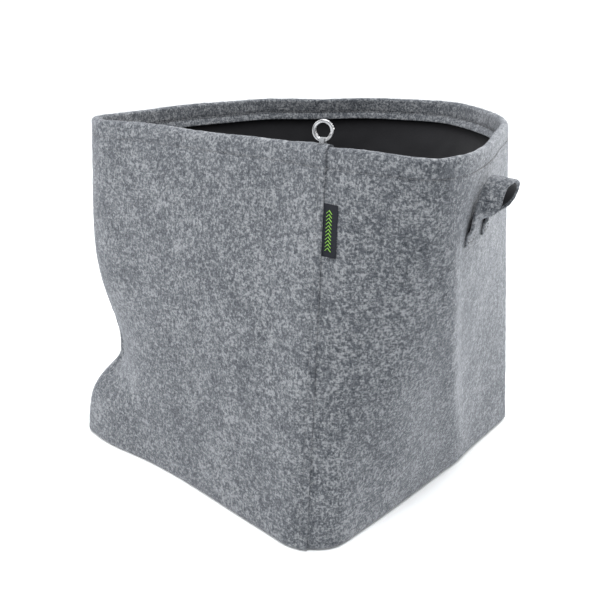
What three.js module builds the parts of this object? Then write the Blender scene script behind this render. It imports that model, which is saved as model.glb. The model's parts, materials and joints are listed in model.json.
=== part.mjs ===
// A square fabric grow bag of felt with a dark lining: one wall strip lapped at the front corner,
// a hem folded inwards, a flat base, two strap handles, a sewn-in tag and a hanging split ring.
// The origin is on the floor under the middle of the base, and the seam is near the corner (+X, -Y).
import * as THREE from "three";

// Sizes, in millimetres.
const baseWidth = 300; // outside, along X
const baseDepth = 300; // outside, along Y
const baseCorners = { front: 36, right: 12, back: 34, left: 12 }; // radius of each, the seam at the front
const wallHeight = 300; // floor to the top of the hem
const feltThickness = 2.4;
const liningThickness = 1;
const clearance = 0.3; // between pieces that lie against each other
const baseClearance = 0.9; // between the base and the sloping foot of the wall
const hemDepth = 21; // height of the band folded inside the mouth
const hemStitchDrop = 13.8; // hem stitching below the top of the hem
const seamLap = 15; // how far the end of the wall strip lies over its start
const seamEase = 26; // length of wall over which the layers part on each side of the lap
const seamFootAngle = -55; // degrees round the front corner of the base where the seam ends
const seamStitchInset = 5; // seam stitching from the free edge of the lap
const seamStitchFoot = 6; // its lower end above the floor
const seamStitchHead = 2; // its upper end below the hem stitching
const threadSize = 0.7;
const tagLength = 36; // up the seam
const tagReach = 10.3; // from the edge of the seam
const tagTuck = 8; // sewn into the seam
const tagThickness = 0.4;
const tagDrop = 37; // its upper end below the top of the hem
const tagGap = 0.4; // between the tucked part and the free part
const strapWidth = 16;
const strapSpacing = 37; // between the middles of a handle's two ends
const strapRise = 30; // top of a handle above its sewn ends
const strapLift = 0.9; // the flat strap clears the curve of the wall by this at its ends
const strapStandoff = 8; // how far the strap leans out from the wall, most of it past its top
const strapTwist = 84; // degrees that the strap turns from the wall towards facing up
const strapTwistBy = 0.8; // share of its rise at which the strap has turned that far
const tabHeight = 13; // sewn end of a strap
const tabStitchInset = 2.5;
const handleDrop = 56; // top of the sewn ends below the top of the hem
const hingeGap = 2.6; // between a sewn end and the free strap
const hingeStandoff = 1.5; // from the face of a sewn end out to the strap's hinge line
const ringDiameter = 14.8; // outside
const ringWire = 1.3; // thickness of one turn
const ringBand = 2.4; // width of the flat wire, across the ring
const ringTurns = 1.95;
const ringEnd = 75; // degrees round from the bottom, where the outer turn ends
const ringPitch = 1.55;
const ringInset = 7; // from the free edge of the lap
const ringYaw = 24; // degrees from the X axis to the plane of the ring
const ringLoopWidth = 2.6;
const ringLoopThickness = 0.8;

// The mouth's outline from the top of the seam round to the right, in shares of half the base.
const mouthOutline = [
  [0.807, -0.733],
  [1.1, -0.72],
  [1.307, -0.66],
  [1.373, -0.493],
  [1.333, -0.24],
  [1.153, 0.247],
  [0.96, 0.653],
  [0.733, 0.953],
  [0.5, 1.16],
  [0.147, 1.267],
  [-0.273, 1.16],
  [-0.593, 0.873],
  [-0.86, 0.547],
  [-0.973, 0],
  [-0.993, -0.38],
  [-0.96, -0.6],
  [-0.907, -0.787],
  [-0.78, -0.853],
  [-0.4, -0.8],
  [0.127, -0.76],
  [0.533, -0.72],
];

// Soft dents (negative) and swellings of the wall. at is the share of the way round from the seam,
// height the share of the way up; across is in millimetres, above and below in shares of the height.
const wallSwells = [
  { at: 0.76, height: 0.28, depth: -27, across: 48, above: 0.22, below: 0.085 },
  { at: 0.87, height: 0.1, depth: -4, across: 70, above: 0.2, below: 0.3 },
  { at: 0.79, height: 0, depth: 4, across: 35, above: 0.12, below: 0.2 },
  { at: 0.13, height: 0, depth: 5, across: 110, above: 0.2, below: 0.2 },
];

// How finely the surfaces are divided.
const wallColumns = 58;
const wallRows = [0.02, 0.09, 0.18, 0.27, 0.36, 0.5, 0.65, 0.8]; // shares of the height
const easeRows = [0.15, 0.35, 0.65]; // shares of the ease where its columns stand
const foldSegments = 4;
const leastColumn = 4; // width of the narrowest column beside the ease
const strapSteps = 20;
const ringSteps = 40;
const strapLean = [0.25, 0.85]; // shares of the strap between which it leans out

// Fits worked out from the sizes.
const plyThickness = feltThickness + clearance + liningThickness;
const hemThickness = plyThickness + clearance + feltThickness;
const lapGap = tagThickness + 2 * clearance;
const lapOffset = feltThickness + lapGap;
const strapThickness = plyThickness;
const threadStandoff = clearance + threadSize / 2;
const hemBottom = wallHeight - hemDepth;
const hemStitchHeight = wallHeight - hemStitchDrop;
const tagTop = wallHeight - tagDrop;
const handleHeight = wallHeight - handleDrop;
const wallHeights = [...wallRows.map((row) => row * wallHeight), hemBottom];

// Materials.
const material = (name, color, roughness, metalness = 0) =>
  new THREE.MeshStandardMaterial({ name, color, roughness, metalness });
const felt = () => material("grey_felt", 0x8c8d90, 0.95);
const lining = () => material("black_lining", 0x17171b, 0.9);
const thread = () => material("grey_thread", 0x6d6e72, 0.8);
const steel = () => material("bright_steel", 0xc4c5c8, 0.25, 1);
const ribbon = () => material("dark_ribbon", 0x14161d, 0.7);

const bag = new THREE.Group();
bag.name = "fabric_grow_bag";

function addMesh(parent, name, geometry, finish) {
  const mesh = new THREE.Mesh(geometry, finish());
  mesh.name = name;
  bag.add(mesh);
  if (parent !== bag) parent.attach(mesh);
  return mesh;
}

// Outlines of the foot and of the mouth, both starting at the seam and running anticlockwise.
function footPath() {
  const seamAngle = THREE.MathUtils.degToRad(seamFootAngle);
  const quarter = Math.PI / 2;
  const path = new THREE.Path();
  const corner = (toX, toY, radius, start, end) => {
    const x = toX * (baseWidth / 2 - radius);
    const y = toY * (baseDepth / 2 - radius);
    path.absarc(x, y, radius, start, end, false);
  };
  corner(1, -1, baseCorners.front, seamAngle, 0);
  corner(1, 1, baseCorners.right, 0, quarter);
  corner(-1, 1, baseCorners.back, quarter, 2 * quarter);
  corner(-1, -1, baseCorners.left, 2 * quarter, 3 * quarter);
  corner(1, -1, baseCorners.front, 3 * quarter, 4 * quarter + seamAngle);
  return path;
}

function mouthCurve() {
  const points = mouthOutline.map(
    ([x, y]) => new THREE.Vector3((x * baseWidth) / 2, (y * baseDepth) / 2, 0),
  );
  const curve = new THREE.CatmullRomCurve3(points, true, "centripetal");
  curve.arcLengthDivisions = 600;
  return curve;
}

const foot = footPath();
const mouth = mouthCurve();
const mouthLength = mouth.getLength();

const wrap = (share) => ((share % 1) + 1) % 1;
const bell = (x) => Math.exp(-x * x);

// Outline of the wall's outer face at a height, before the dents.
function plainOutline(share, height) {
  const low = foot.getPoint(wrap(share));
  const high = mouth.getPointAt(wrap(share));
  return new THREE.Vector2(
    THREE.MathUtils.lerp(low.x, high.x, height),
    THREE.MathUtils.lerp(low.y, high.y, height),
  );
}

function swell(share, height) {
  let total = 0;
  for (const s of wallSwells) {
    const away = wrap(share - s.at + 0.5) - 0.5;
    const up = height - s.height;
    total += s.depth * bell((away * mouthLength) / s.across) * bell(up / (up > 0 ? s.above : s.below));
  }
  return total;
}

// Outward direction of the wall, level.
function wallNormal(share, height) {
  const step = 0.002;
  const along = plainOutline(share + step, height).sub(plainOutline(share - step, height));
  return new THREE.Vector2(along.y, -along.x).normalize();
}

const shareOf = (length) => length / mouthLength;

// Length from a share back to the lap, or on from it; nothing inside the lap.
function lengthFromLap(share) {
  const around = wrap(share) * mouthLength;
  return Math.max(0, Math.min(around, mouthLength - seamLap - clearance - around));
}

const nearLap = (share) => 1 - THREE.MathUtils.smoothstep(lengthFromLap(share), 0, seamEase);

// A point at a height z (mm) above the floor, out (mm) from the wall's outer face. At the lap the
// wall sinks by half a layer, so that the two layers lie evenly about it.
function wallPoint(share, z, out) {
  const height = THREE.MathUtils.clamp(z / wallHeight, 0, 1);
  const normal = wallNormal(share, height);
  const sink = (lapOffset / 2) * nearLap(share);
  const inHem = THREE.MathUtils.clamp((z - hemBottom) / hemDepth, 0, 1);
  const p = plainOutline(share, height).addScaledVector(normal, swell(share, height) + out - sink);
  return new THREE.Vector3(p.x, p.y, z - sink * inHem);
}

// Distance that the upper layer stands over the lower one.
const layerOffset = (share) => lapOffset * nearLap(share);

// Shares of the way round, closer together where the outlines turn.
function wallStations() {
  const samples = 720;
  const turning = [0];
  let last = wallNormal(0, 1);
  let lastLow = wallNormal(0, 0);
  for (let i = 1; i <= samples; i++) {
    const now = wallNormal(i / samples, 1);
    const nowLow = wallNormal(i / samples, 0);
    const turned = Math.abs(last.cross(now)) + Math.abs(lastLow.cross(nowLow));
    turning.push(turning[i - 1] + turned);
    last = now;
    lastLow = nowLow;
  }
  const total = turning[samples];
  const measure = (i) => i / samples + turning[i] / total;
  const end = 1 - shareOf(seamLap + seamEase);
  const stations = [];
  let i = 0;
  for (let n = 1; n < wallColumns; n++) {
    while (measure(i) < (2 * n) / wallColumns) i++;
    const share = i / samples;
    if (share > shareOf(seamEase) && share < end - shareOf(leastColumn)) stations.push(share);
  }
  const fall = easeRows.map((k) => shareOf(k * seamEase));
  const climb = [0, ...easeRows.slice(1)].map((k) => end + shareOf(k * seamEase));
  const lap = [1 - shareOf(seamLap), 1 - shareOf(seamLap / 2)];
  return [0, ...fall, ...stations, ...climb, ...lap];
}

const stations = wallStations();

// A closed skin over rings of points. Open sweeps are capped with the flat section given.
// Each diagonal starts at the lower point, so that faces a clearance apart stay parallel.
function skin(rings, section) {
  const count = rings[0].length;
  const closed = !section;
  const spans = closed ? rings.length : rings.length - 1;
  const index = [];
  for (let i = 0; i < spans; i++) {
    const here = i * count;
    const there = ((i + 1) % rings.length) * count;
    for (let j = 0; j < count; j++) {
      const k = (j + 1) % count;
      if (rings[i][k].z >= rings[i][j].z) {
        index.push(here + j, here + k, there + k, here + j, there + k, there + j);
      } else {
        index.push(here + j, here + k, there + j, here + k, there + k, there + j);
      }
    }
  }
  if (!closed) {
    const end = (rings.length - 1) * count;
    for (const [a, b, c] of THREE.ShapeUtils.triangulateShape(section, [])) {
      index.push(a, c, b, end + a, end + b, end + c);
    }
  }
  const geometry = new THREE.BufferGeometry().setFromPoints(rings.flat());
  geometry.setIndex(index);
  return faceOut(geometry);
}

// Turns every face round if the skin came out inside out.
function faceOut(geometry) {
  const position = geometry.getAttribute("position");
  const index = Array.from(geometry.getIndex().array);
  const corner = (i) => new THREE.Vector3().fromBufferAttribute(position, index[i]);
  let volume = 0;
  for (let i = 0; i < index.length; i += 3) {
    volume += corner(i).dot(corner(i + 1).cross(corner(i + 2)));
  }
  if (volume < 0) geometry.setIndex(index.reverse());
  geometry.computeVertexNormals();
  return geometry;
}

// A ring all the way round the bag from a section of [out, z] pairs, which may depend on the share.
function wallRing(section) {
  return skin(
    stations.map((share) => section(share).map(([out, z]) => wallPoint(share, z, out))),
  );
}

// A square thread centred at [out, z].
function threadSection(out, z) {
  const half = threadSize / 2;
  return [
    [out - half, z],
    [out, z - half],
    [out + half, z],
    [out, z + half],
  ];
}

// Section of the wall felt: up the outer limb, over the fold and down the hem inside.
function wallFeltSection(layer) {
  const centre = [-hemThickness / 2, wallHeight - hemThickness / 2];
  const outerRadius = hemThickness / 2 + layer;
  const innerRadius = outerRadius - feltThickness;
  const fold = (radius, turn) => {
    const angle = Math.PI * turn;
    return [centre[0] + radius * Math.cos(angle), centre[1] + radius * Math.sin(angle)];
  };
  const turns = Array.from({ length: foldSegments + 1 }, (_, i) => i / foldSegments);
  const section = [[layer - feltThickness / 2, 0]];
  for (const z of [...wallHeights, hemStitchHeight]) section.push([layer, z]);
  for (const turn of turns) section.push(fold(outerRadius, turn));
  section.push([-hemThickness - layer, hemStitchHeight]);
  section.push([-hemThickness - layer, hemBottom]);
  section.push([-hemThickness - layer + feltThickness, hemBottom]);
  for (const turn of turns.toReversed()) section.push(fold(innerRadius, turn));
  for (const z of wallHeights.toReversed()) section.push([layer - feltThickness, z]);
  section.push([layer - feltThickness, 0]);
  return section;
}

function wallFelt() {
  const start = [-shareOf(seamLap), -shareOf(seamLap / 2)];
  const lower = start.map((share) => ({ share, layer: 0 }));
  const round = stations.map((share) => ({ share, layer: share > 0.5 ? layerOffset(share) : 0 }));
  const upper = { share: 1, layer: lapOffset };
  const rings = [...lower, ...round, upper].map(({ share, layer }) =>
    wallFeltSection(layer).map(([out, z]) => wallPoint(share, z, out)),
  );
  return skin(rings, wallFeltSection(0).map(([out, z]) => new THREE.Vector2(out, z)));
}

const liningFoot = feltThickness + clearance;

function wallLining() {
  const outside = -feltThickness - clearance;
  const inside = outside - liningThickness;
  const heights = [liningFoot, ...wallHeights.slice(1), wallHeight - hemThickness / 2];
  return wallRing(() => [
    ...heights.map((z) => [outside, z]),
    ...heights.toReversed().map((z) => [inside, z]),
  ]);
}

// A flat panel that fits inside the foot of the wall, with both faces fanned from their middle.
function basePanel(inset, bottom, thickness) {
  const count = stations.length;
  const outline = stations.map((share) => wallPoint(share, 0, -inset));
  const points = [];
  for (const z of [bottom, bottom + thickness]) {
    for (const p of outline) points.push(new THREE.Vector3(p.x, p.y, z));
  }
  const low = points.push(new THREE.Vector3(0, 0, bottom)) - 1;
  const high = points.push(new THREE.Vector3(0, 0, bottom + thickness)) - 1;
  const index = [];
  for (let i = 0; i < count; i++) {
    const next = (i + 1) % count;
    index.push(low, next, i, high, count + i, count + next);
    index.push(i, next, count + next, i, count + next, count + i);
  }
  const geometry = new THREE.BufferGeometry().setFromPoints(points);
  geometry.setIndex(index);
  return faceOut(geometry);
}

const baseInset = feltThickness + baseClearance;
const baseLiningInset = baseInset + liningThickness + clearance;
const baseLiningTop = liningFoot + liningThickness;

addMesh(bag, "wall_felt", wallFelt(), felt);
addMesh(bag, "wall_lining", wallLining(), lining);
addMesh(bag, "base_felt", basePanel(baseInset, 0, feltThickness), felt);
addMesh(bag, "base_lining", basePanel(baseLiningInset, liningFoot, liningThickness), lining);

// Threads round the hem and the base.
function layerUnderThread(share) {
  const pastSeam = (share * mouthLength) / (seamEase * easeRows[0]);
  const fall = 1 - THREE.MathUtils.clamp(pastSeam, 0, 1);
  return share > 0.5 ? layerOffset(share) : lapOffset * fall;
}

const hemOutside = wallRing((share) =>
  threadSection(layerUnderThread(share) + threadStandoff, hemStitchHeight),
);
const hemInside = wallRing((share) =>
  threadSection(-hemThickness - layerUnderThread(share) - threadStandoff, hemStitchHeight),
);
const baseSeam = wallRing(() =>
  threadSection(-baseLiningInset - threadStandoff, baseLiningTop + threadStandoff),
);
addMesh(bag, "hem_stitching_outside", hemOutside, thread);
addMesh(bag, "hem_stitching_inside", hemInside, thread);
addMesh(bag, "base_stitching", baseSeam, thread);

// The row of stitching up the lap.
function seamStitching() {
  const share = 1 - shareOf(seamStitchInset);
  const half = threadSize / 2;
  const heights = [seamStitchFoot, ...wallHeights.slice(1), hemStitchHeight - seamStitchHead];
  const corners = [
    [-half, 0],
    [0, -half],
    [half, 0],
    [0, half],
  ];
  const rings = heights.map((z) =>
    corners.map(([along, out]) =>
      wallPoint(share + shareOf(along), z, lapOffset + threadStandoff + out),
    ),
  );
  return skin(rings, corners.map(([x, y]) => new THREE.Vector2(x, y)));
}
addMesh(bag, "seam_stitching", seamStitching(), thread);

// A thin patch that follows the wall: lengths along it from a share, heights, and distances out.
function wallPatch(share, [left, right], [bottom, top], [inner, outer], steps = 3) {
  const rings = [];
  for (let i = 0; i <= steps; i++) {
    const at = share + shareOf(THREE.MathUtils.lerp(left, right, i / steps));
    rings.push([
      wallPoint(at, bottom, inner),
      wallPoint(at, bottom, outer),
      wallPoint(at, top, outer),
      wallPoint(at, top, inner),
    ]);
  }
  const section = [
    [0, 0],
    [1, 0],
    [1, 1],
    [0, 1],
  ].map(([x, y]) => new THREE.Vector2(x, y));
  return skin(rings, section);
}

// A hinge is a group at the hinge, whose X axis runs along it.
function hingeGroup(name, from, to) {
  const group = new THREE.Group();
  group.name = name;
  group.position.copy(from).lerp(to, 0.5);
  const direction = to.clone().sub(from).normalize();
  group.quaternion.setFromUnitVectors(new THREE.Vector3(1, 0, 0), direction);
  bag.add(group);
  group.updateMatrixWorld(true);
  return group;
}

// The woven tag: one part is held in the lap and one lies free against the wall.
function addTag() {
  const heights = [tagTop - tagLength, tagTop];
  const thickness = [clearance, clearance + tagThickness];
  const freeEdge = clearance * 3;
  const middle = clearance + tagThickness / 2;
  const hinge = hingeGroup(
    "tag_hinge",
    wallPoint(shareOf(freeEdge), heights[1], middle),
    wallPoint(shareOf(freeEdge), heights[0], middle),
  );
  const held = wallPatch(0, [-tagTuck, freeEdge - tagGap], heights, thickness);
  const free = wallPatch(0, [freeEdge, tagReach], heights, thickness);
  addMesh(bag, "tag_tuck", held, ribbon);
  addMesh(hinge, "tag_flag", free, ribbon);
}
addTag();

// A rectangle of thread on a strap end.
function tabStitching(share, z) {
  const halfWidth = strapWidth / 2 - tabStitchInset;
  const out = clearance + strapThickness + clearance;
  const corners = [
    [-halfWidth, z - tabHeight + tabStitchInset],
    [halfWidth, z - tabHeight + tabStitchInset],
    [halfWidth, z - tabStitchInset],
    [-halfWidth, z - tabStitchInset],
  ];
  const rings = corners.map(([along, height]) => {
    const inX = Math.sign(along) * threadSize;
    const inZ = Math.sign(height - (z - tabHeight / 2)) * threadSize;
    const outer = (depth) => wallPoint(share + shareOf(along), height, depth);
    const inner = (depth) => wallPoint(share + shareOf(along - inX), height - inZ, depth);
    return [outer(out), outer(out + threadSize), inner(out + threadSize), inner(out)];
  });
  return skin(rings);
}

// A strap handle: two sewn ends, and a free strap that rises and twists between them.
function addHandle(side, share) {
  const z = handleHeight;
  const liningDepth = [clearance, clearance + liningThickness];
  const feltDepth = [liningDepth[1] + clearance, clearance + strapThickness];
  const ends = { front: -1, back: 1 };
  for (const [end, sign] of Object.entries(ends)) {
    const direction = side === "right" ? sign : -sign;
    const at = share + shareOf((direction * strapSpacing) / 2);
    const width = [-strapWidth / 2, strapWidth / 2];
    const tab = `${side}_handle_${end}_end`;
    addMesh(bag, `${tab}_felt`, wallPatch(at, width, [z - tabHeight, z], feltDepth), felt);
    addMesh(bag, `${tab}_lining`, wallPatch(at, width, [z - tabHeight, z], liningDepth), lining);
    addMesh(bag, `${tab}_stitching`, tabStitching(at, z), thread);
  }

  const axisOut = clearance + strapThickness + hingeStandoff;
  const hinge = hingeGroup(
    `${side}_handle_hinge`,
    wallPoint(share - shareOf(strapSpacing / 2), z + hingeGap / 2, axisOut),
    wallPoint(share + shareOf(strapSpacing / 2), z + hingeGap / 2, axisOut),
  );
  addMesh(hinge, `${side}_handle_felt`, strapPly(share, feltDepth), felt);
  addMesh(hinge, `${side}_handle_lining`, strapPly(share, liningDepth), lining);
}

// How far the strap has turned from lying flat against the wall.
function strapFacing(turn) {
  const turned = THREE.MathUtils.smoothstep(Math.sin(turn), 0, strapTwistBy);
  return THREE.MathUtils.degToRad(strapTwist) * turned;
}

// Middle line of the free strap; turn runs from 0 at one sewn end to pi at the other.
function strapMiddle(share, turn) {
  const halfStrap = strapWidth / 2;
  const facing = strapFacing(turn);
  const along = (-strapSpacing / 2) * Math.cos(turn);
  const up = handleHeight + hingeGap + strapRise * Math.sin(turn);
  const out =
    strapLift +
    clearance +
    strapThickness / 2 +
    halfStrap * Math.sin(facing) +
    strapStandoff * Math.sin(turn) ** 2 * THREE.MathUtils.smoothstep(turn / Math.PI, ...strapLean);
  return wallPoint(share + shareOf(along), up, out);
}

function strapPly(share, [inner, outer]) {
  const middleDepth = clearance + strapThickness / 2;
  const wallOut = wallNormal(share, handleHeight / wallHeight);
  const outward = new THREE.Vector3(wallOut.x, wallOut.y, 0);
  const along = new THREE.Vector3(-wallOut.y, wallOut.x, 0);
  const up = new THREE.Vector3(0, 0, 1);
  const rings = [];
  for (let i = 0; i <= strapSteps; i++) {
    const turn = (Math.PI * i) / strapSteps;
    const centre = strapMiddle(share, turn);
    const ahead = strapMiddle(share, Math.min(turn + 0.01, Math.PI));
    const behind = strapMiddle(share, Math.max(turn - 0.01, 0));
    const run = ahead.sub(behind).normalize();
    const facing = strapFacing(turn);
    const bow = along.clone().multiplyScalar(-Math.cos(turn)).addScaledVector(up, Math.sin(turn));
    const face = outward.clone().multiplyScalar(Math.cos(facing)).addScaledVector(bow, Math.sin(facing));
    const across = run.clone().cross(face).normalize();
    const normal = across.clone().cross(run).normalize();
    const corner = (side, depth) =>
      centre
        .clone()
        .addScaledVector(across, (side * strapWidth) / 2)
        .addScaledVector(normal, depth - middleDepth);
    rings.push([corner(-1, inner), corner(1, inner), corner(1, outer), corner(-1, outer)]);
  }
  const section = [
    [0, 0],
    [1, 0],
    [1, 1],
    [0, 1],
  ].map(([x, y]) => new THREE.Vector2(x, y));
  return skin(rings, section);
}

const rightHandleShare = 0.1355;
const leftHandleShare = 0.657;
addHandle("right", rightHandleShare);
addHandle("left", leftHandleShare);

// The split ring stands on the hem over the seam, held by a small tape loop.
class RingCurve extends THREE.Curve {
  getPoint(t, target = new THREE.Vector3()) {
    const turns = ringEnd / 360 + 1 - ringTurns * (1 - t);
    const angle = 2 * Math.PI * turns;
    const radius = (ringDiameter - ringBand) / 2;
    const up = radius * (1 - Math.cos(angle));
    return target.set(radius * Math.sin(angle), (0.5 - turns) * ringPitch, up);
  }
}

function addRing() {
  const share = 1 - shareOf(ringInset);
  const stack = (ringPitch + ringWire) / 2;
  const legs = clearance + stack;
  const seat = wallPoint(share, wallHeight + lapOffset + legs, -hemThickness / 2);
  const yaw = THREE.MathUtils.degToRad(ringYaw);
  const line = new THREE.Vector3(Math.cos(yaw), Math.sin(yaw), 0);
  const hinge = hingeGroup("ring_hinge", seat.clone().sub(line), seat.clone().add(line));

  const wire = new THREE.Shape();
  wire.absellipse(0, 0, ringWire / 2, ringBand / 2, 0, 2 * Math.PI, false, 0);
  const ring = new THREE.ExtrudeGeometry(wire, {
    steps: ringSteps,
    curveSegments: 3,
    bevelEnabled: false,
    extrudePath: new RingCurve(),
  });
  ring.rotateZ(yaw).translate(seat.x, seat.y, seat.z);
  addMesh(hinge, "split_ring", ring, steel);

  const inner = stack + ringWire / 2;
  const outer = inner + ringLoopThickness;
  const arch = new THREE.Shape();
  arch.moveTo(outer, -stack);
  arch.absarc(0, 0, outer, 0, Math.PI, false);
  arch.lineTo(-outer, -stack);
  arch.lineTo(-inner, -stack);
  arch.absarc(0, 0, inner, Math.PI, 0, true);
  arch.lineTo(inner, -stack);
  const loop = new THREE.ExtrudeGeometry(arch, {
    depth: ringLoopWidth,
    curveSegments: 8,
    bevelEnabled: false,
  });
  loop.translate(0, 0, -ringLoopWidth / 2).rotateX(Math.PI / 2).rotateZ(yaw + Math.PI / 2);
  loop.translate(seat.x, seat.y, seat.z);
  addMesh(bag, "ring_loop", loop, thread);
}
addRing();

export default bag;
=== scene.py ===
# A square grow bag of grey felt with a black lining, two strap handles, a side tag and a split ring.
# Sizes are in millimetres and become metres when a mesh is made.
import json
import math

import bpy
import numpy as np
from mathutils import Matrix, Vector, noise


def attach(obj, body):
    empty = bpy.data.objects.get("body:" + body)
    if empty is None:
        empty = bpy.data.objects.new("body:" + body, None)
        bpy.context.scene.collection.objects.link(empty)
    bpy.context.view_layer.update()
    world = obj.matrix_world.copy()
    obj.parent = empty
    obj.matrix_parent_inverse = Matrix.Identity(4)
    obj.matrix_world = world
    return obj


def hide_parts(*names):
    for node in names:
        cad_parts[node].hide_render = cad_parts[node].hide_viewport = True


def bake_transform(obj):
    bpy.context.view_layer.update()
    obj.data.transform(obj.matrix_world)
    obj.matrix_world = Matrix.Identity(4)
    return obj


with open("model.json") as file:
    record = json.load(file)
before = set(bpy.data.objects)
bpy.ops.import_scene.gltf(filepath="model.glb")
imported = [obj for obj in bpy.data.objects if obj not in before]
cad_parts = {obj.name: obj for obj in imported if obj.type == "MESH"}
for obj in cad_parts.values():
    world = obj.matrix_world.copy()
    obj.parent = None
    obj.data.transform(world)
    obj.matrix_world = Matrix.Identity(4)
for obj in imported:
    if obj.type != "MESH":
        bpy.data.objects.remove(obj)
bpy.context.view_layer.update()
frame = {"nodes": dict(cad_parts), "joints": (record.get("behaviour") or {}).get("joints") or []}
joints = {joint["name"]: joint for joint in frame["joints"]}
mm = 0.001
print("frame loaded:", len(frame["nodes"]), "nodes")

# The wall's shape, which every other piece is placed by.
cut = {
    "side": 300,
    "height": 300,
    "corners": {"front": 36, "right": 12, "back": 34, "left": 12},
    "seamFoot": -55,  # degrees round the front corner
    "felt": 2.4,
    "lining": 1.0,
    "gap": 0.3,
    "hemDepth": 21,
    "stitchDrop": 13.8,
    "seamLap": 15,
    "seamEase": 26,
    "lapRise": 1.8,  # how far the upper layer's face stands over the lower one's
    "lapPly": 1.35,  # the upper layer pressed thin by its stitching
    "lapSink": 1.55,  # how far the lower layer is drawn in
    "footRadius": 5,
}
mouthOutline = [
    (0.807, -0.733), (1.1, -0.72), (1.307, -0.66), (1.373, -0.493), (1.333, -0.24), (1.153, 0.247),
    (0.96, 0.653), (0.733, 0.953), (0.5, 1.16), (0.147, 1.267), (-0.273, 1.16), (-0.593, 0.873),
    (-0.86, 0.547), (-0.973, 0), (-0.993, -0.38), (-0.96, -0.6), (-0.907, -0.787), (-0.78, -0.853),
    (-0.4, -0.8), (0.127, -0.76), (0.533, -0.72),
]
# Dents and swellings: share round from the seam, share of the height, depth, width and reach up and down.
swells = [
    {"at": 0.76, "height": 0.28, "depth": -27, "across": 48, "above": 0.22, "below": 0.085},
    {"at": 0.87, "height": 0.1, "depth": -4, "across": 70, "above": 0.2, "below": 0.3},
    {"at": 0.79, "height": 0, "depth": 4, "across": 35, "above": 0.12, "below": 0.2},
    {"at": 0.13, "height": 0, "depth": 5, "across": 110, "above": 0.2, "below": 0.2},
]
# Soft ridges that run up the wall, where the felt has been bent.
creases = [
    {"at": 0.118, "lean": -0.092, "height": 0.5, "depth": 7, "across": 12, "reach": 0.42},
    {"at": 0.30, "lean": -0.02, "height": 0.5, "depth": 2.2, "across": 22, "reach": 0.4},
    {"at": 0.60, "lean": 0.01, "height": 0.4, "depth": -2.4, "across": 30, "reach": 0.35},
]
hemThick = 2 * cut["felt"] + 2 * cut["gap"] + cut["lining"]
hemBottom = cut["height"] - cut["hemDepth"]
hemStitch = cut["height"] - cut["stitchDrop"]
lapOffset = cut["lapRise"]
liningOut = -cut["felt"] - cut["gap"]
broadStep = 0.04  # share of the outline that swells take their direction from


class Outline:
    # A closed line whose points are found by the share of its length.
    def __init__(self, points):
        loop = np.vstack([points, points[:1]])
        steps = np.linalg.norm(np.diff(loop, axis=0), axis=1)
        self.reach = np.concatenate([[0], np.cumsum(steps)])
        self.length = self.reach[-1]
        self.loop = loop

    def at(self, share):
        along = np.mod(share, 1) * self.length
        return np.stack([np.interp(along, self.reach, self.loop[:, i]) for i in (0, 1)], -1)


def footPoints():
    half = cut["side"] / 2
    start = cut["seamFoot"]
    turns = [("front", 1, -1, start, 0), ("right", 1, 1, 0, 90), ("back", -1, 1, 90, 180),
             ("left", -1, -1, 180, 270), ("front", 1, -1, 270, 360 + start)]
    arcs = []
    for name, toX, toY, first, last in turns:
        radius = cut["corners"][name]
        angles = np.radians(np.linspace(first, last, 40))
        x = toX * (half - radius) + radius * np.cos(angles)
        y = toY * (half - radius) + radius * np.sin(angles)
        arcs.append(np.column_stack([x, y]))
    return np.concatenate(arcs)


def mouthPoints(perSpan=60):
    # a smooth closed curve through the outline, with no overshoot at close points
    knots = np.array(mouthOutline) * cut["side"] / 2
    count = len(knots)
    spans = []
    for i in range(count):
        a, b, c, d = (knots[(i + k) % count] for k in (-1, 0, 1, 2))
        ab, bc, cd = (math.sqrt(np.linalg.norm(q - p)) for p, q in ((a, b), (b, c), (c, d)))
        leave = ((b - a) / ab - (c - a) / (ab + bc) + (c - b) / bc) * bc
        arrive = ((c - b) / bc - (d - b) / (bc + cd) + (d - c) / cd) * bc
        t = (np.arange(perSpan) / perSpan)[:, None]
        spans.append(
            b * (2 * t**3 - 3 * t**2 + 1) + leave * (t**3 - 2 * t**2 + t)
            + c * (3 * t**2 - 2 * t**3) + arrive * (t**3 - t**2)
        )
    return np.concatenate(spans)


foot = Outline(footPoints())
mouth = Outline(mouthPoints())


def shareOf(length):
    # share of the way round for a length along the mouth
    return length / mouth.length


def bell(x):
    return np.exp(-x * x)


def smooth(x):
    x = np.clip(x, 0, 1)
    return x * x * (3 - 2 * x)


def apart(share, other):
    return np.mod(share - other + 0.5, 1) - 0.5


def outline(share, height):
    h = height[..., None]
    return foot.at(share) * (1 - h) + mouth.at(share) * h


def wallNormal(share, height, step=0.002):
    along = outline(share + step, height) - outline(share - step, height)
    normal = np.stack([along[..., 1], -along[..., 0]], -1)
    return normal / np.linalg.norm(normal, axis=-1, keepdims=True)


def sag(share, height):
    # how far the felt stands out from the plain outline: swells, creases and a slight unevenness
    total = np.zeros(np.broadcast(share, height).shape)
    for s in swells:
        up = height - s["height"]
        reach = np.where(up > 0, s["above"], s["below"])
        away = apart(share, s["at"]) * mouth.length / s["across"]
        total = total + s["depth"] * bell(away) * bell(up / reach)
    for c in creases:
        away = apart(share, c["at"] + c["lean"] * (height - c["height"])) * mouth.length / c["across"]
        total = total + c["depth"] / np.cosh(away) * bell((height - c["height"]) / c["reach"])
    slow = np.sin(2 * np.pi * (7 * share + 0.9 * height) + 0.6) * np.sin(np.pi * height * 1.7 + 0.4)
    quick = np.sin(2 * np.pi * (13 * share - 1.3 * height) + 2.1) * np.sin(np.pi * height * 2.6 + 1.1)
    calm = smooth(height / 0.12) * (1 - 0.85 * nearLap(share))
    return total + calm * (0.9 * slow + 0.45 * quick)


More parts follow.
